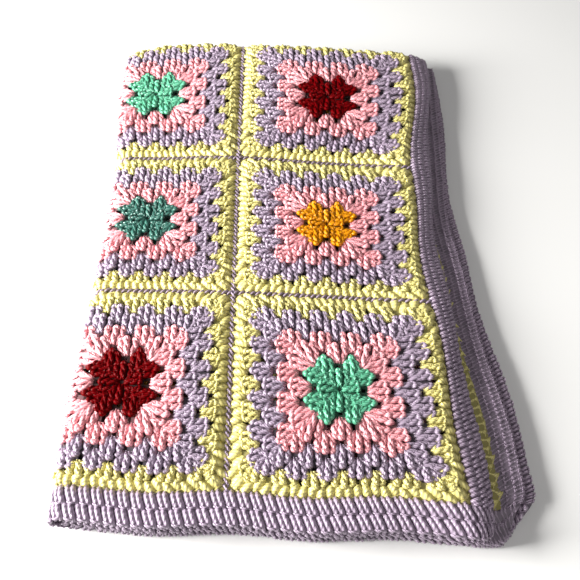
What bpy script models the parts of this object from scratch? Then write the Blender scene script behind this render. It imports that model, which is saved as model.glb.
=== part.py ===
"""A crocheted patchwork throw, folded in quarters: four layers of square motifs, edged with a border.

The flat throw was folded away from the near edge (the far fold), then over to the left (the left fold).
The top and bottom layers are the outer sheet, joined round the outside of the left fold. The upper and
lower layers between them are the inner sheet, and the two sheets join at the far fold.
Metres, +Z up, with the origin under the middle of the pile.
"""

from math import cos, pi, sin

import bmesh
import bpy
from mathutils import Vector

# Driving dimensions
SQUARE = 0.150            # one motif, from seam to seam
ROWS = 3                  # motifs along each layer; two lie side by side
BORDER = 0.020            # edging round the throw's free edges
LAYER = 0.008             # from one layer's underside to the next
CLEARANCE = 0.0003        # between neighbouring pieces
SEAM_WIDTH = 0.003        # the joining row between two motifs
SEAM_RECESS = 0.0012      # depth of a seam below the faces of the motifs
OUTER_TAIL = 0.0133       # the top layer's left motifs end this far under the left fold
INNER_SLIDE = 0.022       # the upper layer's near right corner stands out this far past the top one's
LOWER_EASE_NEAR = 0.91    # width that the lower layers take up, over their flat width, at the near edge
LOWER_EASE_FAR = 0.83     # the same at the far fold
SOFTNESS = 0.0015         # bevel on motifs and border
SEAM_SOFTNESS = 0.0005    # bevel on seams
FOLD_STEPS = 10           # flats round each half turn

# Each pair of layers goes round the left fold as a half turn, at a mean radius of one layer.
HALF_TURN = pi * LAYER
FOLD_HEIGHT = 2 * LAYER - CLEARANCE / 2
# A band is the two faces of a layer, measured outwards from the middle of its pair.
OUTER_BAND = (CLEARANCE / 2, LAYER - CLEARANCE / 2)
INNER_BAND = (-OUTER_BAND[1], -OUTER_BAND[0])

# Along the throw, from the near row of motifs: the outer sheet turns over at the far line.
NEAR_EDGE = -BORDER
FAR_LINE = ROWS * SQUARE - HALF_TURN / 2
FAR_END = FAR_LINE + OUTER_BAND[1]
INNER_EASE = (FAR_LINE + BORDER) / (ROWS * SQUARE + BORDER)
OUTER_LINES = [row * SQUARE for row in range(ROWS)] + [FAR_LINE]
INNER_LINES = [FAR_LINE - INNER_EASE * (ROWS - row) * SQUARE for row in range(ROWS + 1)]

# Across the throw, from the line where the left fold begins
TOP_SEAM = SQUARE - OUTER_TAIL - 1.5 * HALF_TURN
INNER_TAIL = SQUARE - TOP_SEAM - INNER_SLIDE - 0.5 * HALF_TURN
LOWER_REACH = max(OUTER_TAIL, INNER_TAIL) + LOWER_EASE_NEAR * (2 * SQUARE + BORDER)
FOLD_APEX = -LAYER - OUTER_BAND[1]

# The left fold opens about a line half the inner sheet's turn outside the flat line, so that sheet opens flat.
HINGE_X = -HALF_TURN / 4
CENTRE = Vector(((LOWER_REACH + FOLD_APEX) / 2, (FAR_END + NEAR_EDGE) / 2, 0))

ROW_NAMES = ("near", "middle", "far")
COLUMN_NAMES = ("left", "right")
# The centre colour of each motif: left and right, for the near, middle and far rows
TOP_CENTRES = (("red", "mint"), ("teal", "gold"), ("mint", "red"))
UPPER_CENTRES = (("gold", "teal"), ("mint", "red"), ("teal", "gold"))
LOWER_CENTRES = (("mint", "red"), ("gold", "mint"), ("red", "teal"))
BOTTOM_CENTRES = (("teal", "gold"), ("red", "teal"), ("gold", "mint"))
YARNS = {
    "mint": (0.13, 0.60, 0.36),
    "teal": (0.10, 0.34, 0.24),
    "red": (0.20, 0.004, 0.008),
    "gold": (0.80, 0.34, 0.004),
    "lavender": (0.42, 0.33, 0.52),
}


def clear_scene():
    for old in list(bpy.data.objects):
        bpy.data.objects.remove(old, do_unlink=True)


def yarn_material(colour):
    name = "yarn_" + colour
    material = bpy.data.materials.get(name)
    if material is None:
        material = bpy.data.materials.new(name)
        material.use_nodes = True
        shader = material.node_tree.nodes["Principled BSDF"]
        shader.inputs["Base Color"].default_value = (*YARNS[colour], 1)
        shader.inputs["Roughness"].default_value = 0.7
        shader.inputs["Metallic"].default_value = 0
    return material


def add_empty(name, location):
    empty = bpy.data.objects.new(name, None)
    empty.location = location
    bpy.context.scene.collection.objects.link(empty)
    return empty


def on_upper(distance):
    """The path of a point on the upper half. A path runs from the free edge, which is positive, to the fold."""
    return distance


def on_lower(distance):
    """The path of a point on the lower half, past the half turn of the left fold."""
    return -HALF_TURN - distance


def bend(path, out):
    """Where a point lies across the pile, from its path and its distance out from the middle of its pair."""
    radius = LAYER + out
    if path >= 0:
        return path, FOLD_HEIGHT + radius
    if path <= -HALF_TURN:
        return -path - HALF_TURN, FOLD_HEIGHT - radius
    angle = -path / LAYER
    return -radius * sin(angle), FOLD_HEIGHT + radius * cos(angle)


def straight(start, end, band):
    """The outline of a piece seen from its side, as points (along, out)."""
    return [(start, band[0]), (end, band[0]), (end, band[1]), (start, band[1])]


def turned_over(start, band):
    """The outline of a piece that runs over the far fold and closes the end of the inner sheet."""
    turn = [pi * step / FOLD_STEPS for step in range(FOLD_STEPS + 1)]
    arc = [(FAR_LINE + band[1] * sin(angle), band[1] * cos(angle)) for angle in turn]
    return [(start, band[0]), (start, band[1]), *arc, (FAR_LINE, band[0])]


def add_piece(name, colour, parent, outline, cuts, softness=0.0):
    """A solid swept across the pile. Each cut is a pair of paths, at the near edge and at the far line."""
    mesh = bmesh.new()
    rings = []
    for near, far in cuts:
        ring = []
        for along, out in outline:
            share = (along - NEAR_EDGE) / (FAR_LINE - NEAR_EDGE)
            x, z = bend(near + (far - near) * share, out)
            ring.append(mesh.verts.new(Vector((x, along, z)) - CENTRE - parent.location))
        rings.append(ring)
    corners = range(len(outline))
    for ring, following in zip(rings, rings[1:]):
        for corner in corners:
            mesh.faces.new((ring[corner - 1], ring[corner], following[corner], following[corner - 1]))
    mesh.faces.new(rings[0])
    mesh.faces.new(rings[-1])
    bmesh.ops.recalc_face_normals(mesh, faces=mesh.faces)

    data = bpy.data.meshes.new(name)
    mesh.to_mesh(data)
    mesh.free()
    data.materials.append(yarn_material(colour))
    piece = bpy.data.objects.new(name, data)
    bpy.context.scene.collection.objects.link(piece)
    piece.parent = parent
    if softness:
        bevel = piece.modifiers.new("soft_edges", "BEVEL")
        bevel.width = softness
        bevel.segments = 1
        bevel.limit_method = "ANGLE"
    return piece


def moved(station, distance):
    """A station, which is a pair of distances at the near edge and at the far line, moved to the right."""
    return station[0] + distance, station[1] + distance


def cuts_between(side, left, right):
    return [tuple(side(distance) for distance in station) for station in (left, right)]


def seam_bands(band):
    """The lower and the upper half of a recessed band: row seams take the lower one, column seams the upper."""
    low, high = band[0] + SEAM_RECESS, band[1] - SEAM_RECESS
    middle = (low + high) / 2
    return (low, middle - CLEARANCE / 2), (middle + CLEARANCE / 2, high)


def add_layer(layer, parent, side, outer, stations, centres):
    """The motifs, seams and border of one layer. Its stations are the left edge, column seam, right edge
    of the motifs and free edge."""
    left, seam, right, edge = stations
    band = OUTER_BAND if outer else INNER_BAND
    lines = OUTER_LINES if outer else INNER_LINES
    row_band, column_band = seam_bands(band)
    half_seam = SEAM_WIDTH / 2
    beside_seam = half_seam + CLEARANCE
    first = lines[0] + CLEARANCE
    last = FAR_LINE - CLEARANCE
    # On the lower half, the left edge is a seam too.
    left_gap = CLEARANCE if side is on_upper else beside_seam
    columns = (
        cuts_between(side, moved(left, left_gap), moved(seam, -beside_seam)),
        cuts_between(side, moved(seam, beside_seam), moved(right, -CLEARANCE)),
    )
    whole = cuts_between(side, moved(left, left_gap), moved(right, -CLEARANCE))

    for row, row_name in enumerate(ROW_NAMES):
        start = first if row == 0 else lines[row] + beside_seam
        end = last - SEAM_WIDTH - CLEARANCE if row == ROWS - 1 else lines[row + 1] - beside_seam
        over = outer and row == ROWS - 1
        outline = turned_over(start, band) if over else straight(start, end, band)
        for column, cuts in enumerate(columns):
            name = f"{layer}_square_{row_name}_{COLUMN_NAMES[column]}"
            add_piece(name, centres[row][column], parent, outline, cuts, 0 if over else SOFTNESS)

    for row in range(1, ROWS):
        outline = straight(lines[row] - half_seam, lines[row] + half_seam, row_band)
        name = f"{layer}_row_seam_{ROW_NAMES[row]}"
        add_piece(name, "lavender", parent, outline, whole, SEAM_SOFTNESS)
    if not outer:
        outline = straight(last - SEAM_WIDTH, last, row_band)
        add_piece(f"{layer}_far_seam", "lavender", parent, outline, whole, SEAM_SOFTNESS)

    outline = turned_over(first, column_band) if outer else straight(first, last, column_band)
    cuts = cuts_between(side, moved(seam, -half_seam), moved(seam, half_seam))
    add_piece(f"{layer}_column_seam", "lavender", parent, outline, cuts)
    if side is on_lower:
        cuts = cuts_between(side, moved(left, -half_seam), moved(left, half_seam))
        add_piece(f"{layer}_middle_seam", "lavender", parent, outline, cuts)

    outline = turned_over(first, band) if outer else straight(first, last, band)
    add_piece(f"{layer}_side_border", "lavender", parent, outline, cuts_between(side, right, edge))
    outline = straight(NEAR_EDGE, lines[0], band)
    cuts = cuts_between(side, (CLEARANCE, CLEARANCE), edge)
    add_piece(f"{layer}_near_border", "lavender", parent, outline, cuts, SOFTNESS)


def add_left_fold(sheet, parent, outer, tail, centres):
    """The turned part of a sheet's left motifs, with their tail on the lower half, and of its near border."""
    band = OUTER_BAND if outer else INNER_BAND
    lines = OUTER_LINES if outer else INNER_LINES
    turn = [(-HALF_TURN * step / FOLD_STEPS,) * 2 for step in range(FOLD_STEPS + 1)]
    tail_end = (on_lower(tail - SEAM_WIDTH / 2 - CLEARANCE),) * 2
    for row, row_name in enumerate(ROW_NAMES):
        start = lines[row] + CLEARANCE
        if outer and row == ROWS - 1:
            outline = turned_over(start, band)
        else:
            outline = straight(start, FAR_LINE - CLEARANCE if row == ROWS - 1 else lines[row + 1], band)
        add_piece(f"{sheet}_fold_{row_name}", centres[row][0], parent, outline, [*turn, tail_end])
    outline = straight(NEAR_EDGE, lines[0], band)
    add_piece(f"{sheet}_fold_border", "lavender", parent, outline, turn)


def upper_stations(slide):
    near = (0, TOP_SEAM + slide, TOP_SEAM + slide + SQUARE, TOP_SEAM + slide + SQUARE + BORDER)
    far = (0, TOP_SEAM, TOP_SEAM + SQUARE, TOP_SEAM + SQUARE + BORDER)
    return list(zip(near, far))


def lower_stations(tail):
    flat = (0, SQUARE, 2 * SQUARE, 2 * SQUARE + BORDER)
    return [(tail + LOWER_EASE_NEAR * width, tail + LOWER_EASE_FAR * width) for width in flat]


clear_scene()
lower_half = add_empty("lower_half", Vector())
left_fold_axis = add_empty("left_fold_axis", Vector((HINGE_X, 0, FOLD_HEIGHT)) - Vector((CENTRE.x, 0, 0)))
add_layer("bottom", lower_half, on_lower, True, lower_stations(OUTER_TAIL), BOTTOM_CENTRES)
add_layer("lower", lower_half, on_lower, False, lower_stations(INNER_TAIL), LOWER_CENTRES)
add_layer("upper", left_fold_axis, on_upper, False, upper_stations(INNER_SLIDE), UPPER_CENTRES)
add_layer("top", left_fold_axis, on_upper, True, upper_stations(0), TOP_CENTRES)
add_left_fold("outer", lower_half, True, OUTER_TAIL, TOP_CENTRES)
add_left_fold("inner", lower_half, False, INNER_TAIL, UPPER_CENTRES)
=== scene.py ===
from math import pi, radians

import bpy
import numpy as np
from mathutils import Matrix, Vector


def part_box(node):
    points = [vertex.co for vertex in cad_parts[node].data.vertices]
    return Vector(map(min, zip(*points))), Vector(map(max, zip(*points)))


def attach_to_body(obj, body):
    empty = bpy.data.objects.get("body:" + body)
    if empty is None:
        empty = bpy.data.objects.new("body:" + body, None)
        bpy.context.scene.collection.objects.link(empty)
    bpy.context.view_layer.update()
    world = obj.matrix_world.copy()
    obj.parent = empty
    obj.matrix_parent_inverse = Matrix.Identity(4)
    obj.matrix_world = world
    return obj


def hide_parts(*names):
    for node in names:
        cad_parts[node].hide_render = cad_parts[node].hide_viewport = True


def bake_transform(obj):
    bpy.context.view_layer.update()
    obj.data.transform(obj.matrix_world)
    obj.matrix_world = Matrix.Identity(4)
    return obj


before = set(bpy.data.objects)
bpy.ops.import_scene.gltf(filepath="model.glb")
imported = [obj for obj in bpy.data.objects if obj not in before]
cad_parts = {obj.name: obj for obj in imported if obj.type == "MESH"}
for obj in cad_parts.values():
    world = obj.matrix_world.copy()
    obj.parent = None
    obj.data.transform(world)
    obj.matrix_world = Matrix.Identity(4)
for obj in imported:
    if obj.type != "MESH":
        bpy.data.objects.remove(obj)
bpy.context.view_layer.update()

rng = np.random.default_rng(7)
bpy.ops.object.select_all(action="DESELECT")


# Sizes of the folded throw, all read from the frame

def low(node, axis):
    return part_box(node)[0][axis]


def high(node, axis):
    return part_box(node)[1][axis]


layerStep = low("upper_square_middle_right", 2) - low("lower_square_middle_right", 2)
foldX = high("outer_fold_border", 0)             # the left fold begins here
foldZ = (high("outer_fold_border", 2) + low("outer_fold_border", 2)) / 2
nearY = low("top_near_border", 1)
rowY = high("top_near_border", 1)                # near edge of the near squares
farY = high("upper_side_border", 1)              # the outer sheet turns over here
border = rowY - nearY
seamWidth = high("top_row_seam_far", 1) - low("top_row_seam_far", 1)
square = low("top_row_seam_far", 1) - low("top_row_seam_middle", 1)
innerEase = (farY - nearY) / (3 * square + border)
halfStep = layerStep / 2
outerTurn, innerTurn = 1.5 * pi * layerStep, 0.5 * pi * layerStep

# how far the second layer's squares and its edge slide out at the near and far ends, and the near corner's rounding
pile = {"squareNear": 0.0102, "squareFar": 0.0096, "edgeNear": 0.0072, "edgeFar": 0.0084, "cornerRound": 0.42}


def pathsOf(layer):
    # where the middle seam, the column seam, the squares' right edge and the free edge lie, near and far
    outer, onTop = layer in ("top", "bottom"), layer in ("top", "upper")
    turnLength = outerTurn if outer else innerTurn
    tailSeam = "bottom_middle_seam" if outer else "lower_middle_seam"
    tail = (low(tailSeam, 0) + high(tailSeam, 0)) / 2 - foldX
    seam, side = f"{layer}_column_seam", f"{layer}_side_border"
    nearSeam, farSeam = high(seam, 0) - seamWidth / 2 - foldX, low(seam, 0) + seamWidth / 2 - foldX
    farRight, edge = low(side, 0) - foldX, high(f"{layer}_near_border", 0) - foldX
    slide = {name: 0 if outer else pile[name] for name in ("squareNear", "squareFar", "edgeNear", "edgeFar")}
    if onTop:
        return ((-turnLength - tail,) * 2, (nearSeam, farSeam),
                (nearSeam + square + slide["squareNear"], farRight + slide["squareFar"]),
                (edge + slide["edgeNear"], farRight + border + slide["edgeFar"]))
    nearWidth, farWidth = nearSeam - tail, farSeam - tail
    places = ((tail, tail), (nearSeam, farSeam), (tail + 2 * nearWidth, tail + 2 * farWidth),
              (edge, tail + farWidth * (2 + border / square)))
    return tuple((-turnLength - near, -turnLength - far) for near, far in places)


# Where a point of the flat throw lies in the folded pile

# the first line holds shares of the pile's height, slant is how far the rows fall per metre, and the rest are metres
sag = {"crown": 0.04, "rightDrop": 0.2, "edgeDrop": 0.35, "farRise": 0.115, "nearDrop": 0.04,
       "slant": 0.0474, "slantX": 0.10, "rowPull": 0.0135, "waist": 0.0088, "nearSpread": -0.002,
       "farSpread": 0.0114, "edgePush": 0.0075, "edgeX": 0.247, "farBulge": 0.0095, "leftLean": 0.0044,
       "farCorner": 0.013, "corner": 0.011, "cornerReach": 0.035, "cornerX": 0.305, "ripple": 0.0014}


def smooth(low, high, value):
    share = np.clip((value - low) / (high - low), 0, 1)
    return share * share * (3 - 2 * share)


# where each of them sets in: metres to the right of the left fold, or rows of squares from the near edge
spans = {"right": (0.08, 0.26), "clear": (0.0, 0.09), "crownStart": (0.02, 0.09), "crownEnd": (0.12, 0.24),
         "crownRows": (-0.1, 0.7), "dropRows": (0.5, 2.5), "edge": (0.240, 0.278), "riseRows": (1.2, 2.6),
         "nearRows": (-0.13, 0.55), "near": (0.04, 0.13), "spreadRows": (2.0, 2.8), "firstRow": (0, 1),
         "leanRows": (-0.1, 1.5), "bulgeRows": (1.95, 2.5), "farCorner": (-0.012, 0.032), "lastRows": (2.62, 3.02),
         "rippleRows": (0, 0.5), "swell": (0.01, 0.07)}


def past(name, value):
    return smooth(*spans[name], value)


def bulge(middle, width, value):
    return np.exp(-((value - middle) / width) ** 2)


def settle(x, y, z):
    # the soft pile: higher over the left squares, lower to the right, rows slanting a little
    rows = (y - rowY) / square
    right, clear = past("right", x), past("clear", x)
    z = z * (1 + sag["crown"] * past("crownStart", x) * (1 - past("crownEnd", x)) * past("crownRows", rows)
             - sag["rightDrop"] * right * (0.6 + 0.4 * past("dropRows", rows))
             - sag["edgeDrop"] * past("edge", x) + sag["farRise"] * past("riseRows", rows) * clear)
    z = z * (1 - sag["nearDrop"] * (1 - past("nearRows", rows)) * past("near", x))
    newX = x - sag["waist"] * bulge(1.35, 0.85, rows) * right
    newX = newX + sag["farSpread"] * right * past("spreadRows", rows)
    newX = newX + sag["edgePush"] * bulge(sag["edgeX"], 0.022, x)
    newX = newX + sag["nearSpread"] * right * (1 - past("firstRow", rows))
    lean = sag["leftLean"] * past("leanRows", rows) - sag["farBulge"] * past("bulgeRows", rows)
    newX = newX + lean * (1 - clear)
    newY = y - sag["slant"] * (x - sag["slantX"]) - sag["rowPull"] * bulge(2, 0.6, rows)
    newY = newY - sag["farCorner"] * (1 - past("farCorner", x)) * past("lastRows", rows)
    corner = smooth(sag["cornerX"] - sag["cornerReach"], sag["cornerX"], x)
    corner = corner * (1 - smooth(nearY, nearY + sag["cornerReach"], y))
    newX, newY = newX - sag["corner"] * corner, newY + sag["corner"] * corner
    # gentle waves, so that no edge runs dead straight
    newX = newX + sag["ripple"] * np.sin(47 * y + 260 * z) * right
    newY = newY + sag["ripple"] * np.sin(61 * x + 1.7) * (1 - past("rippleRows", rows))
    swell = 0.5 * sag["ripple"] * (np.sin(38 * x + 1) * np.sin(31 * y + 2) + 1)
    return newX, newY, z + swell * z / (4 * layerStep) * past("swell", x)


def foldUp(outer, path, along, height):
    # path: positive towards the free side edge, negative round the left fold; along: from the near squares
    turnLength = outerTurn if outer else innerTurn
    bend = pi * np.clip(-path / turnLength, 0, 1)
    beyond = np.maximum(-path - turnLength, 0)
    turn = np.clip((along - (farY - rowY)) / halfStep, 0, pi) if outer else np.full_like(along, pi)
    places = []
    for lift in (0, height):
        out = (halfStep + lift) * np.cos(turn)
        if outer:
            y = rowY + np.minimum(along, farY - rowY) + (halfStep + lift) * np.sin(turn)
        else:
            y = farY - innerEase * (3 * square - along)
        places.append((np.maximum(path, 0) - (layerStep + out) * np.sin(bend) + beyond, y,
                       foldZ + (layerStep + out) * np.cos(bend)))
    # the pile is pressed together as a whole, and the yarn on it keeps its thickness
    x, y, z = settle(places[1][0], places[1][1], places[0][2])
    z = np.maximum(z + places[1][2] - places[0][2], 0.0003)
    return np.stack([x + foldX, y, z], -1)


def patch(outer, left, right, start, end, width, length):
    # a straight-sided part of the flat throw between two lines across and two along
    shares = [(along + border) / (3 * square + border) for along in (start, end)]
    corners = [side[0] + (side[1] - side[0]) * share for share in shares for side in (left, right)]
    return {"outer": outer, "paths": corners, "rows": (start, end), "size": (width, length),
            "round": start < 0 and width == border}


def onPile(area, points):
    # points: across and along the patch from its near left corner, and height above its middle
    a, b = points[..., 0] / area["size"][0], points[..., 1] / area["size"][1]
    if area["round"]:
        out, pull = 1 - b, pile["cornerRound"]
        a, b = (a * np.sqrt(1 - np.clip(out, 0, 1) ** 2 * pull), 1 - out * np.sqrt(1 - np.clip(a, 0, 1) ** 2 * pull))
    nearLeft, nearRight, farLeft, farRight = area["paths"]
    near, far = nearLeft + (nearRight - nearLeft) * a, farLeft + (farRight - farLeft) * a
    start, end = area["rows"]
    return foldUp(area["outer"], near + (far - near) * b, start + (end - start) * b, points[..., 2])


# Yarn

yarnLook = {"roughness": 0.36, "sheen": 0.2, "sheenRoughness": 0.4, "plies": 3, "plyGroovePaintedShade": 0.416, "pale": 1.15,
            "patches": 45.0, "fuzz": 900, "fuzzShare": 0.35, "plyDepth": 0.65, "relief": 0.0004}
colours = {
    "mint": (0.10, 0.40, 0.245), "teal": (0.038, 0.145, 0.115), "red": (0.115, 0.0, 0.001),
    "gold": (0.70, 0.265, 0.0), "pink": (0.86, 0.37, 0.41), "lavender": (0.37, 0.29, 0.385),
    "yellow": (0.74, 0.66, 0.245)}
shines = {"red": 0.06, "gold": 0.35, "seam": 0.3}     # the others 0.7
seamToneAndPaintedShade = {"seam": 0.95, "border": 0.45, "yellow": 0.4}      # shares of a yarn's colour: the seam yarn's own tone, then painted shade for the sheets inside the stitches; other rounds inside 0.14


def addNode(tree, kind, inputs=(), **settings):
    node = tree.nodes.new(kind)
    for name, value in settings.items():
        setattr(node, name, value)
    for socket, value in dict(inputs).items():
        if isinstance(value, bpy.types.NodeSocket):
            tree.links.new(value, node.inputs[socket])
        else:
            node.inputs[socket].default_value = value
    return node


def makeYarn(name, colour, shine):
    material = bpy.data.materials.new(name)
    material.use_nodes = True
    tree = material.node_tree
    shader = tree.nodes["Principled BSDF"]
    shader.inputs["Roughness"].default_value = yarnLook["roughness"]
    shader.inputs["Sheen Weight"].default_value = yarnLook["sheen"]
    shader.inputs["Specular IOR Level"].default_value = shine
    shader.inputs["Sheen Roughness"].default_value = yarnLook["sheenRoughness"]
    place = addNode(tree, "ShaderNodeTexCoord")
    split = addNode(tree, "ShaderNodeSeparateXYZ", {0: place.outputs["UV"]})
    # the plies wind round the strand: a stripe runs along it and once round it
    turns = addNode(tree, "ShaderNodeMath", {0: split.outputs["X"], 1: split.outputs["Y"]}, operation="ADD")
    stripe = addNode(tree, "ShaderNodeMath", {0: turns.outputs[0], 1: 2 * pi * yarnLook["plies"]},
                     operation="MULTIPLY")
    wave = addNode(tree, "ShaderNodeMath", {0: stripe.outputs[0]}, operation="SINE")
    raised = addNode(tree, "ShaderNodeMapRange", {0: wave.outputs[0], 1: -1.0, 2: 0.6, 3: 0.0, 4: 1.0})
    fuzz = addNode(tree, "ShaderNodeTexNoise", {"Vector": place.outputs["Object"], "Scale": yarnLook["fuzz"],
                                                "Detail": 2.0})
    tone = addNode(tree, "ShaderNodeTexNoise", {"Vector": place.outputs["Object"], "Scale": yarnLook["patches"],
                                                "Detail": 2.0})
    # painted shade: the colour darkens in the grooves between the plies
    paintedGrooveColour = tuple(part * yarnLook["plyGroovePaintedShade"] for part in colour)
    pale = tuple(min(part * yarnLook["pale"], 1) for part in colour)
    shader.inputs["Sheen Tint"].default_value = (*colour, 1)
    plyGroovePaintedShade = addNode(tree, "ShaderNodeMix", {0: raised.outputs[0], 6: (*paintedGrooveColour, 1), 7: (*colour, 1)}, data_type="RGBA")
    lifted = addNode(tree, "ShaderNodeMix", {0: tone.outputs["Fac"], 6: plyGroovePaintedShade.outputs[2], 7: (*pale, 1)},
                     data_type="RGBA")
    tree.links.new(lifted.outputs[2], shader.inputs["Base Color"])
    both = addNode(tree, "ShaderNodeMath", {0: fuzz.outputs["Fac"], 1: yarnLook["fuzzShare"], 2: raised.outputs[0]},
                   operation="MULTIPLY_ADD")
    bump = addNode(tree, "ShaderNodeBump", {"Height": both.outputs[0], "Strength": yarnLook["plyDepth"],
                                            "Distance": yarnLook["relief"]})
    tree.links.new(bump.outputs["Normal"], shader.inputs["Normal"])
    return material


def makePaintedShadeInside(name, centre):
    # painted shade: the inside of the stitches, in the colours of the rounds darkened to stand in for the shade
    # between the stitches
    material = bpy.data.materials.new(name)
    material.use_nodes = True
    tree = material.node_tree
    shader = tree.nodes["Principled BSDF"]
    shader.inputs["Roughness"].default_value = 0.9
    place = addNode(tree, "ShaderNodeTexCoord")
    split = addNode(tree, "ShaderNodeSeparateXYZ", {0: place.outputs["UV"]})
    sides = [addNode(tree, "ShaderNodeMath", {0: split.outputs[axis]}, operation="ABSOLUTE") for axis in "XY"]
    reach = addNode(tree, "ShaderNodeMath", {0: sides[0].outputs[0], 1: sides[1].outputs[0]}, operation="MAXIMUM")
    ramp = addNode(tree, "ShaderNodeValToRGB", {0: reach.outputs[0]})
    ramp.color_ramp.interpolation = "CONSTANT"
    stops = ((0, centre), (roundEdges[1], "pink"), (roundEdges[3], "lavender"), (roundEdges[5], "yellow"))
    for index, (edge, colour) in enumerate(stops):
        stop = ramp.color_ramp.elements[index] if index < 2 else ramp.color_ramp.elements.new(edge / square * 2)
        stop.position = edge / square * 2
        stop.color = (*(part * seamToneAndPaintedShade.get(colour, 0.14) for part in colours[colour]), 1)
    tree.links.new(ramp.outputs[0], shader.inputs["Base Color"])
    return material


# Stitches: strands of yarn across (metres), up (share of the stitch's height) and out of the fabric (metres)

def strand(route, thickness, sides, steps, twists):
    route = np.array(route, float)
    at = np.linspace(0, len(route) - 1, steps + 1)
    line = np.empty((steps + 1, 3))
    ends = np.vstack([2 * route[0] - route[1], route, 2 * route[-1] - route[-2]])
    for step, value in enumerate(at):
        knot = min(int(value), len(route) - 2)
        share = value - knot
        before, start, end, after = ends[knot:knot + 4]
        line[step] = 0.5 * (2 * start + (end - before) * share
                            + (2 * before - 5 * start + 4 * end - after) * share ** 2
                            + (3 * start - before - 3 * end + after) * share ** 3)
    scaled = line * (1, stitchTall, 1)
    along = np.gradient(scaled, axis=0)
    along /= np.linalg.norm(along, axis=1)[:, None]
    across = np.cross(along, (0.0, 0.3, 1.0))
    across /= np.linalg.norm(across, axis=1)[:, None]
    up = np.cross(across, along)
    taper = thickness * np.interp(at / at[-1], (0, 0.2, 0.8, 1), (0.6, 1, 1, 0.6))
    around = np.arange(sides) / sides
    rings = (scaled[:, None] + taper[:, None, None] * (np.cos(2 * pi * around)[None, :, None] * across[:, None]
                                                       + np.sin(2 * pi * around)[None, :, None] * up[:, None]))
    rings[..., 1] /= stitchTall
    faces, uvs = [], []
    for step in range(steps):
        for side in range(sides):
            following = (side + 1) % sides
            faces.append((step * sides + side, step * sides + following,
                          (step + 1) * sides + following, (step + 1) * sides + side))
            near, far = twists * step / steps, twists * (step + 1) / steps
            left, right = side / sides, (side + 1) / sides
            uvs.append(((near, left), (near, right), (far, right), (far, left)))
    last = steps * sides
    for first in range(1, sides - 2, 2):
        faces.append((0, first + 2, first + 1, first))
        faces.append((last, last + first, last + first + 1, last + first + 2))
        uvs += [((0, 0),) * 4, ((twists, 0),) * 4]
    return rings.reshape(-1, 3), np.array(faces), np.array(uvs, float)


def gather(strands):
    points, faces, uvs, total = [], [], [], 0
    for part in strands:
        points.append(part[0])
        faces.append(part[1] + total)
        uvs.append(part[2])
        total += len(part[0])
    return np.concatenate(points), np.concatenate(faces), np.concatenate(uvs)


stitchTall = 0.010
mm = 0.001


def wound(start, turns, wide, deep, knots):
    # a strand's route winding up round the middle of a stitch
    route = []
    for height in np.linspace(0, 1, knots):
        angle = 2 * pi * (start + turns * height)
        route.append((wide * np.cos(angle), height * 0.96, deep * np.sin(angle) + 1.5 * (height - 0.55)))
    return route


def makeStitch(routes, sides, steps, full):
    # routes: (line, thickness, twists) of each strand, in millimetres; full thickens them all
    return gather([strand([(x * mm, y, z * mm) for x, y, z in route], thick * mm * full, sides, steps, twists)
                   for route, thick, twists in routes])


def trebleStitch(sides, steps, full):
    # two strands wound round each other, and the loop that locks over the top
    first, second = (wound(start, 1.1, 1.45, 0.75, 7) for start in (-0.08, 0.42))
    loop = ((-2.1, 0.84, 0.0), (-0.9, 0.96, 1.3), (0.9, 0.96, 1.3), (2.1, 0.84, 0.0))
    return makeStitch(((first, 1.55, 2.6), (second, 1.55, 2.6), (loop, 1.15, 1.4)), sides, steps, full)


def shortStitch(sides, steps, full):
    # a single-crochet stitch: two slanting bars side by side and the loop over them
    first = ((0.6, -0.15, -0.9), (0.3, 0.2, 1.0), (-1.3, 0.7, 1.4), (-2.6, 1.1, -0.3))
    second = ((3.4, -0.1, -0.9), (2.7, 0.25, 0.9), (1.3, 0.7, 1.2), (0.2, 1.1, -0.4))
    loop = ((-2.6, 0.86, 0.0), (-0.6, 1.0, 1.2), (1.2, 0.98, 1.0), (2.9, 0.84, -0.6))
    return makeStitch(((first, 1.45, 1.5), (second, 1.4, 1.5), (loop, 0.9, 1.2)), sides, steps, full)


def barStitch(sides, steps, full):
    # two upright bars side by side under one loop, as along the edge of a square
    first = ((-1.1, -0.12, -0.9), (-1.4, 0.2, 1.1), (-1.75, 0.72, 1.2), (-2.0, 1.06, -0.5))
    second = ((2.05, -0.12, -0.9), (1.75, 0.2, 1.1), (1.4, 0.72, 1.2), (1.15, 1.06, -0.5))
    loop = ((-3.1, 0.98, -0.5), (-1.2, 1.02, 0.3), (0.9, 1.02, 0.3), (3.0, 0.98, -0.5))
    return makeStitch(((first, 1.42, 1.6), (second, 1.42, 1.6), (loop, 0.8, 1.8)), sides, steps, full)


def joiningStitch(sides, steps, full):
    # the yarn that joins two pieces: over on one side, under on the other
    over = ((1.9, -0.1, -0.6), (0.9, 0.25, 1.0), (-0.6, 0.75, 1.1), (-1.9, 1.15, -0.6))
    under = ((-1.8, -0.1, -0.4), (-0.6, 0.3, -1.2), (0.7, 0.7, -1.2), (1.9, 1.1, -0.4))
    return makeStitch(((over, 0.95, 1.2), (under, 0.95, 1.2)), sides, steps, full)


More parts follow.
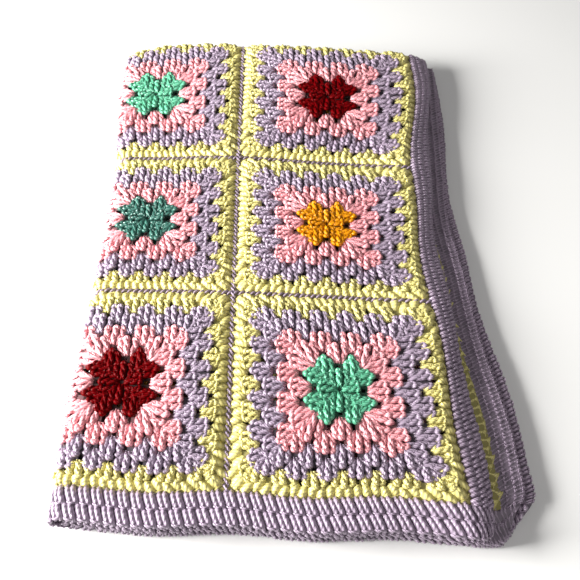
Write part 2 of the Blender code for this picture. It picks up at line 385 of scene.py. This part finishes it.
def lay(stitch, bases, tops, baseWidth, topWidth, lifts, bows=0.0):
    # copies of one stitch, each from its base to its top and bowed sideways between them
    points, faces, uvs = stitch
    bases, tops = np.array(bases), np.array(tops)
    count = len(bases)
    up = tops - bases
    length = np.linalg.norm(up, axis=1)
    up = up / length[:, None]
    side = np.stack([up[:, 1], -up[:, 0]], -1)
    width = baseWidth + (topWidth - baseWidth) * np.clip(points[:, 1], 0, 1)
    placed = np.empty((count, len(points), 3))
    placed[..., :2] = (bases[:, None] + up[:, None] * (points[None, :, 1:2] * length[:, None, None])
                       + side[:, None] * (points[:, 0] * width)[None, :, None])
    bowed = np.reshape(bows, (-1, 1)) * np.sin(pi * np.clip(points[:, 1], 0, 1))[None]
    placed[..., :2] += side[:, None] * bowed[..., None]
    placed[..., 2] = points[None, :, 2] + np.array(lifts)[:, None]
    corners = faces[None] + (np.arange(count) * len(points))[:, None, None]
    return placed.reshape(-1, 3), corners.reshape(-1, 4), np.broadcast_to(uvs, (count, *uvs.shape)).reshape(-1, 4, 2)


def makeMesh(name, parts, materials):
    # parts: (points on the pile, faces, uvs, material number)
    points = np.concatenate([part[0] for part in parts])
    starts = np.cumsum([0] + [len(part[0]) for part in parts[:-1]])
    faces = np.concatenate([part[1] + start for part, start in zip(parts, starts)])
    uvs = np.concatenate([part[2] for part in parts])
    numbers = np.concatenate([np.full(len(part[1]), part[3]) for part in parts])
    a, b, c, d = (points[faces[:, corner]] - points[0] for corner in range(4))
    if np.einsum("ij,ij->i", np.cross(a, b), c).sum() + np.einsum("ij,ij->i", np.cross(a, c), d).sum() < 0:
        faces, uvs = faces[:, ::-1], uvs[:, ::-1]
    mesh = bpy.data.meshes.new(name)
    mesh.vertices.add(len(points))
    mesh.vertices.foreach_set("co", points.ravel().astype(np.float32))
    mesh.loops.add(faces.size)
    mesh.loops.foreach_set("vertex_index", faces.ravel().astype(np.int32))
    mesh.polygons.add(len(faces))
    mesh.polygons.foreach_set("loop_start", np.arange(0, faces.size, 4, dtype=np.int32))
    mesh.polygons.foreach_set("material_index", numbers.astype(np.int32))
    mesh.update(calc_edges=True)
    layer = mesh.uv_layers.new(name="wind")
    layer.data.foreach_set("uv", uvs.ravel().astype(np.float32))
    for material in materials:
        mesh.materials.append(material)
    mesh.shade_smooth()
    mesh.validate()
    piece = bpy.data.objects.new(name, mesh)
    bpy.context.scene.collection.objects.link(piece)
    return piece


# One square, flat: rounds of three-stitch clusters, each worked into the gaps of the round before

roundEdges = [0.0150, 0.0246, 0.0351, 0.0443, 0.0533, 0.0618, 0.0676]
roundColours = (0, 0, 1, 1, 2, 2, 3)
squareLook = {"hole": 0.0022, "spread": 0.232, "widest": 0.0215, "widths": (0.85, 1.12), "lobe": 0.0009,
              "bow": 0.0018, "wander": 0.0006, "bars": 12, "barStart": 0.0660, "barEnds": (0.0006, 0.0004),
              "barWidths": (1.8, 1.95), "barLift": -0.0004, "offCentre": (0.0026, -0.0030), "puff": 0.0034,
              "plainPuff": 0.0004, "plainHeight": 0.6, "edgeDip": 0.0018, "cell": 0.0028}
# values by the number of the round; 0 stands for the rounds not named
roundLook = {
    "reach": {0: 0.0060, 1: 0.0095, 2: 0.0095},         # how far into the round before a stitch begins
    "sideDepth": {0: 1.0, 3: 0.75},                     # shares of that reach, along the sides and at the corners
    "cornerDepth": {0: 0.8, 1: 1.0, 2: 1.0, 3: 1.35},
    "cornerInset": {0: 0.93, 2: 0.7, 3: 0.68},          # corner clusters begin nearer the middle
    "footing": {0: 0.0016, 1: 0.0030, 2: 0.0030},       # how far apart a cluster's stitches begin
    "fan": {0: 1, 1: 0.95, 2: 0.64, 7: 1.12},           # how wide they end
    "droop": {0: 0.0012, 2: 0.0028},                    # how much lower the outer two end
    "closeness": {0: 1, 2: 0.8}}                        # how near one another the clusters end


def turned(points, quarter):
    for _ in range(quarter):
        points = np.stack([-points[:, 1], points[:, 0]], -1)
    return points


def clusterRound(number):
    # bases, tops, lifts and bows of a round's stitches, centred on the square
    look = {name: values.get(number, values[0]) for name, values in roundLook.items()}
    outer = roundEdges[number - 1]
    inner = roundEdges[number - 2] if number > 1 else squareLook["hole"]
    pitch, gaps = 2 * outer / number, 2 * inner / max(number - 1, 1)
    fan = min(pitch, squareLook["widest"]) * squareLook["spread"] * look["fan"]
    rows = []
    for cluster in range(number):
        place = cluster - (number - 1) / 2
        atCorner = number > 1 and cluster in (0, number - 1)
        middle = place * pitch * look["closeness"]
        base = place * gaps * (look["cornerInset"] if atCorner else 1)
        depth = look["cornerDepth"] if atCorner else look["sideDepth"]
        baseY = max(inner - look["reach"] * depth, 0.0016)
        for stitch in (-1, 0, 1):
            rows.append((base + stitch * look["footing"], baseY,
                         middle + stitch * fan, outer - look["droop"] * abs(stitch),
                         squareLook["lobe"] if stitch == 0 else 0, stitch * squareLook["bow"]))
    rows = np.array(rows)
    return rows[:, 0:2], rows[:, 2:4], rows[:, 4], rows[:, 5]


def edgeRound(count, inner, outer):
    # the round of bars along one side of the square
    at = (np.arange(count) + 0.5) / count * 2 - 1
    below, above = squareLook["barEnds"]
    bases = np.stack([at * inner, np.full(count, inner - below)], -1)
    tops = np.stack([at * outer, np.full(count, outer - above)], -1)
    return bases, tops, np.full(count, squareLook["barLift"])


def squareParts(treble, bars, height):
    parts = []
    for quarter in range(4):
        for number in range(1, len(roundEdges) + 1):
            bases, tops, lifts, bows = clusterRound(number)
            tops = tops + rng.normal(0, squareLook["wander"], tops.shape)
            parts.append((*lay(treble, turned(bases, quarter), turned(tops, quarter), *squareLook["widths"],
                               lifts, bows), roundColours[number - 1]))
        bases, tops, lifts = edgeRound(squareLook["bars"], squareLook["barStart"], square / 2 - seamWidth / 3)
        parts.append((*lay(bars, turned(bases, quarter), turned(tops, quarter), *squareLook["barWidths"], lifts), 3))
    return [(points * (1, 1, height), faces, uvs, number) for points, faces, uvs, number in parts]


def puffed(points, puff):
    # a square swells in the middle and dips at its seams
    a, b = np.abs(points[:, 0]) / (square / 2), np.abs(points[:, 1]) / (square / 2)
    rise = puff * (1 - np.clip(a, 0, 1) ** 2) * (1 - np.clip(b, 0, 1) ** 2)
    dip = squareLook["edgeDip"] * np.maximum(smooth(0.9, 1.0, a), smooth(0.9, 1.0, b))
    moved = points.copy()
    moved[:, 2] += rise - dip
    return moved


def offCentre(points, column):
    # the rounds sit a little off the middle of their square
    a, b = points[:, 0] / (square / 2), points[:, 1] / (square / 2)
    share = (1 - np.clip(np.abs(a), 0, 1) ** 6) * (1 - np.clip(np.abs(b), 0, 1) ** 6)
    moved = points.copy()
    moved[:, 0] += squareLook["offCentre"][0] * share * column
    moved[:, 1] += squareLook["offCentre"][1] * share
    return moved


def paintedShadeSheetParts(size, cell, holes):
    # a thin sheet inside the stitches, open where the gaps between clusters are; it carries the painted shade seen
    # between the stitches
    columns, rows = max(int(size[0] / cell), 2), max(int(size[1] / cell), 2)
    xs, ys = np.linspace(0, size[0], columns + 1), np.linspace(0, size[1], rows + 1)
    gridX, gridY = np.meshgrid(xs, ys, indexing="ij")
    points = np.stack([gridX.ravel(), gridY.ravel(), np.full(gridX.size, -0.0002)], -1)
    number = np.arange(gridX.size).reshape(gridX.shape)
    faces = np.stack([number[:-1, :-1], number[1:, :-1], number[1:, 1:], number[:-1, 1:]], -1).reshape(-1, 4)
    if len(holes):
        centres = points[faces].mean(1)[:, :2]
        nearest = np.min(np.linalg.norm(centres[:, None] - np.array(holes)[None], axis=2), axis=1)
        faces = faces[nearest > cell * 0.75]
    uvs = (points[faces][..., :2] - np.array(size) / 2) / (square / 2)
    return points, faces, uvs


def gapPlaces():
    places = []
    for number in range(2, len(roundEdges) + 1):
        inner, outer = roundEdges[number - 2], roundEdges[number - 1]
        for gap in range(1, number):
            x = (gap - number / 2) * 2 * (inner * 0.65 + outer * 0.35) / number
            places.append((x, inner + 0.0022))
    flat = np.array(places)
    return np.concatenate([turned(flat, quarter) for quarter in range(4)]) + square / 2


def attach(pieces, body):
    # body None: the piece goes round the left fold and is baked in place, on no body
    for piece in pieces:
        if body:
            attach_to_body(piece, body)
        else:
            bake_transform(piece)


print("throw: stitches")
fineTreble, fineShort = trebleStitch(4, 5, 1.1), shortStitch(4, 4, 1.1)
plainTreble, plainShort = trebleStitch(4, 3, 1), shortStitch(4, 3, 1)
joining, plainJoining = joiningStitch(4, 4, 1.1), joiningStitch(4, 3, 1)
fineSquare = squareParts(fineTreble, barStitch(4, 4, 1.1), 1)
plainSquare = squareParts(plainTreble, barStitch(4, 3, 1), squareLook["plainHeight"])
holes = gapPlaces()
paintedShadeSheet = paintedShadeSheetParts((square, square), squareLook["cell"], holes)
yarn = {name: makeYarn("yarn" + name.capitalize(), colour, shines.get(name, 0.7))
        for name, colour in colours.items()}
yarnSeam = makeYarn("yarnSeam", tuple(part * seamToneAndPaintedShade["seam"] for part in colours["lavender"]), shines["seam"])
# painted shade: the inside sheets take the rounds' colours and the lavender, darkened
paintedShadeInsides = {name: makePaintedShadeInside("inside" + name.capitalize(), name) for name in ("mint", "teal", "red", "gold")}
paintedShadeInsideLavender = makeYarn("paintedShadeInsideLavender", tuple(part * seamToneAndPaintedShade["border"] for part in colours["lavender"]), 0.7)
rowNames, columnNames = ("near", "middle", "far"), ("left", "right")
rowStarts = [row * square for row in range(3)]


def addSquare(name, area, centre, fine, body, nodes):
    puff, half = squareLook["puff"] if fine else squareLook["plainPuff"], square / 2

    def placed(points):
        # from the middle of the flat square to its place on the pile
        local = puffed(offCentre(points, "Right" in name), puff)
        local[:, :2] += half
        return onPile(area, local)

    parts = [(placed(points), faces, uvs, number)
             for points, faces, uvs, number in (fineSquare if fine else plainSquare)]
    stitches = makeMesh(name + "Stitches", parts, [yarn[centre], yarn["pink"], yarn["lavender"], yarn["yellow"]])
    # the sheet of painted shade inside the square's stitches
    points, faces, uvs = paintedShadeSheet
    flat = points.copy()
    flat[:, :2] -= half
    sheet = makeMesh(name + "PaintedShadeSheet", [(placed(flat), faces, uvs, 0)], [paintedShadeInsides[centre]])
    attach([stitches, sheet], body)
    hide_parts(*nodes)


borderLook = {"sideRows": 3, "nearRows": 2, "stitch": 0.0063, "lift": -0.0005, "crown": 0.0004, "wander": 0.0002,
              "plainHeight": 1.25, "turnedHeight": 0.7, "cell": 0.005}


def addBorder(name, areas, rowsOfStitches, body, nodes, fine):
    # rows of short stitches, which climb across or along each patch
    stitch = fineShort if fine else plainShort
    height = 1 if fine else borderLook["plainHeight"] if body else borderLook["turnedHeight"]
    spacing = 2 * borderLook["stitch"] / rowsOfStitches + borderLook["stitch"] / 3
    parts, sheets = [], []
    for area, upward in areas:
        wide, long = area["size"]
        tall, run = (wide, long) if upward == "across" else (long, wide)
        count = max(round(run / spacing), 1)
        step, rise = run / count, tall / rowsOfStitches
        at = (np.arange(count) + 0.5) * step
        for row in range(rowsOfStitches):
            crown = borderLook["crown"] * np.sin(pi * (row + 0.5) / rowsOfStitches)
            levels = (row * rise, row * rise + rise)
            if upward == "across":
                bases, tops = [np.stack([np.full(count, level), at], -1) for level in levels]
            else:
                bases, tops = [np.stack([at, np.full(count, tall - level)], -1) for level in levels]
            tops = tops + rng.normal(0, borderLook["wander"], tops.shape)
            width = step / borderLook["stitch"]
            points, faces, uvs = lay(stitch, bases, tops, width, width, np.full(count, borderLook["lift"] + crown))
            parts.append((onPile(area, points * (1, 1, height)), faces, uvs, 0))
        # the sheet of painted shade inside the border's stitches
        points, faces, uvs = paintedShadeSheetParts(area["size"], borderLook["cell"], ())
        sheets.append((onPile(area, points), faces, uvs, 0))
    stitches = makeMesh(name + "Stitches", parts, [yarn["lavender"]])
    sheet = makeMesh(name + "PaintedShadeSheet", sheets, [paintedShadeInsideLavender])
    attach([stitches, sheet], body)
    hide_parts(*nodes)
    run = sum(area["size"][0] * area["size"][1] for area, _ in areas) / border


seamLook = {"stitch": 0.0044, "lift": -0.0013}


def addSeams(name, lines, body, nodes, fine):
    # lines: (patch as wide as the seam, "along" or "across")
    parts = []
    for area, way in lines:
        wide, long = area["size"]
        run, middle = (long, wide / 2) if way == "along" else (wide, long / 2)
        count = max(round(run / seamLook["stitch"]), 1)
        at, centred = np.arange(count + 1) * run / count, np.full(count + 1, middle)
        line = np.stack([centred, at] if way == "along" else [at, centred], -1)
        lifts = np.full(count, seamLook["lift"] if fine else 0)
        points, faces, uvs = lay(joining if fine else plainJoining, line[:-1], line[1:], 1.0, 1.0, lifts)
        parts.append((onPile(area, points), faces, uvs, 0))
    stitches = makeMesh(name, parts, [yarnSeam])
    attach([stitches], body)
    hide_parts(*nodes)


centres = {"top": (("red", "mint"), ("teal", "gold"), ("mint", "red")),
           "upper": (("gold", "teal"), ("mint", "red"), ("teal", "gold")),
           "lower": (("mint", "red"), ("gold", "mint"), ("red", "teal")),
           "bottom": (("teal", "gold"), ("red", "teal"), ("gold", "mint"))}


def addLayer(layer):
    outer, onTop, fine = layer in ("top", "bottom"), layer in ("top", "upper"), layer == "top"
    sheet = "outer" if outer else "inner"
    body = "upper_half" if onTop else "lower_half"
    lines = pathsOf(layer)
    away = 1 if onTop else -1
    for row, rowName in enumerate(rowNames):
        start = rowStarts[row]
        for column, columnName in enumerate(columnNames):
            area = patch(outer, lines[column], lines[column + 1], start, start + square, square, square)
            nodes = [f"{layer}_square_{rowName}_{columnName}"]
            bends = onTop and column == 0
            if bends:
                nodes.append(f"{sheet}_fold_{rowName}")
            name = f"{layer}{rowName.capitalize()}{columnName.capitalize()}"
            addSquare(name, area, centres[layer][row][column], fine, None if bends else body, nodes)

    half = seamWidth / 2 * away

    def rowSeam(column, start, end):
        return patch(outer, lines[column], lines[column + 1], start, end, square, seamWidth), "across"

    seamLines = []
    for column in [1] if onTop else [0, 1]:
        left, right = [tuple(path + shift for path in lines[column]) for shift in (-half, half)]
        seamLines.append((patch(outer, left, right, 0, 3 * square, seamWidth, 3 * square), "along"))
    seamLines += [rowSeam(1, row * square - half * away, row * square + half * away) for row in (1, 2)]
    crossing = [rowSeam(0, row * square - half * away, row * square + half * away) for row in (1, 2)]
    nodes = [f"{layer}_column_seam", f"{layer}_row_seam_middle", f"{layer}_row_seam_far"]
    if not outer:
        nodes.append(f"{layer}_far_seam")
        farEnds = (3 * square - 2 * half * away, 3 * square)
        crossing.append(rowSeam(0, *farEnds))
        seamLines.append(rowSeam(1, *farEnds))
    if onTop:
        addSeams(f"{sheet}FoldSeams", crossing, None, [], fine)
    else:
        nodes.append(f"{layer}_middle_seam")
        seamLines += crossing
    addSeams(f"{layer}Seams", seamLines, body, nodes, fine)

    sidePatches = [(patch(outer, lines[2], lines[3], start, start + square, border, square), "across")
                   for start in rowStarts]
    addBorder(f"{layer}SideBorder", sidePatches, borderLook["sideRows"], body, [f"{layer}_side_border"], fine)
    nearPatches = [(patch(outer, lines[column], lines[column + 1], -border, 0, width, border), "along")
                   for column, width in enumerate((square, square, border))]
    if onTop:
        addBorder(f"{sheet}FoldBorder", nearPatches[:1], borderLook["nearRows"], None, [f"{sheet}_fold_border"], fine)
        nearPatches = nearPatches[1:]
    addBorder(f"{layer}NearBorder", nearPatches, borderLook["nearRows"], body, [f"{layer}_near_border"], fine)
    print("throw:", layer, "layer")


# Camera, light and floor

view = {"place": (-0.0081, -0.3170, 0.4270), "down": 57.37, "turn": -0.90, "lens": 38.78}
cameraData = bpy.data.cameras.new("camera")
cameraData.lens, cameraData.sensor_width = view["lens"], 36
camera = bpy.data.objects.new("camera", cameraData)
camera.location = view["place"]
camera.rotation_euler = (radians(90 - view["down"]), 0, radians(view["turn"]))
bpy.context.scene.collection.objects.link(camera)
bpy.context.scene.camera = camera

bpy.ops.mesh.primitive_plane_add(size=8, location=(0, 0, 0))
floor = bpy.context.object
floor.name = "floor"
paint = bpy.data.materials.new("floorPaint")
paint.use_nodes = True
floorShader = paint.node_tree.nodes["Principled BSDF"]
floorShader.inputs["Roughness"].default_value = 0.8
floorPlace = addNode(paint.node_tree, "ShaderNodeTexCoord")
clouds = addNode(paint.node_tree, "ShaderNodeTexNoise", {"Vector": floorPlace.outputs["Object"], "Scale": 3.0})
shades = addNode(paint.node_tree, "ShaderNodeMix", {0: clouds.outputs["Fac"], 6: (0.78, 0.78, 0.78, 1),
                                                    7: (0.82, 0.82, 0.82, 1)}, data_type="RGBA")
paint.node_tree.links.new(shades.outputs[2], floorShader.inputs["Base Color"])
floor.data.materials.append(paint)


def addLight(name, place, turn, size, power, colour):
    data = bpy.data.lights.new(name, "AREA")
    data.size, data.energy, data.color = size, power, colour
    light = bpy.data.objects.new(name, data)
    light.location = place
    light.rotation_euler = [radians(angle) for angle in turn]
    bpy.context.scene.collection.objects.link(light)


addLight("window", (-1.2, -0.15, 0.51), (0, -67, 7), 0.55, 64, (1, 0.99, 0.955))
addLight("fill", (0.2, -0.6, 1.3), (25, 9, 0), 1.2, 5, (1, 0.97, 0.94))
bpy.context.scene.view_settings.view_transform = "Standard"
world = bpy.data.worlds.new("studio")
world.use_nodes = True
world.node_tree.nodes["Background"].inputs[0].default_value = (1, 1, 1, 1)
world.node_tree.nodes["Background"].inputs[1].default_value = 0.18
bpy.context.scene.world = world

for layer in ("top", "upper", "lower", "bottom"):
    addLayer(layer)
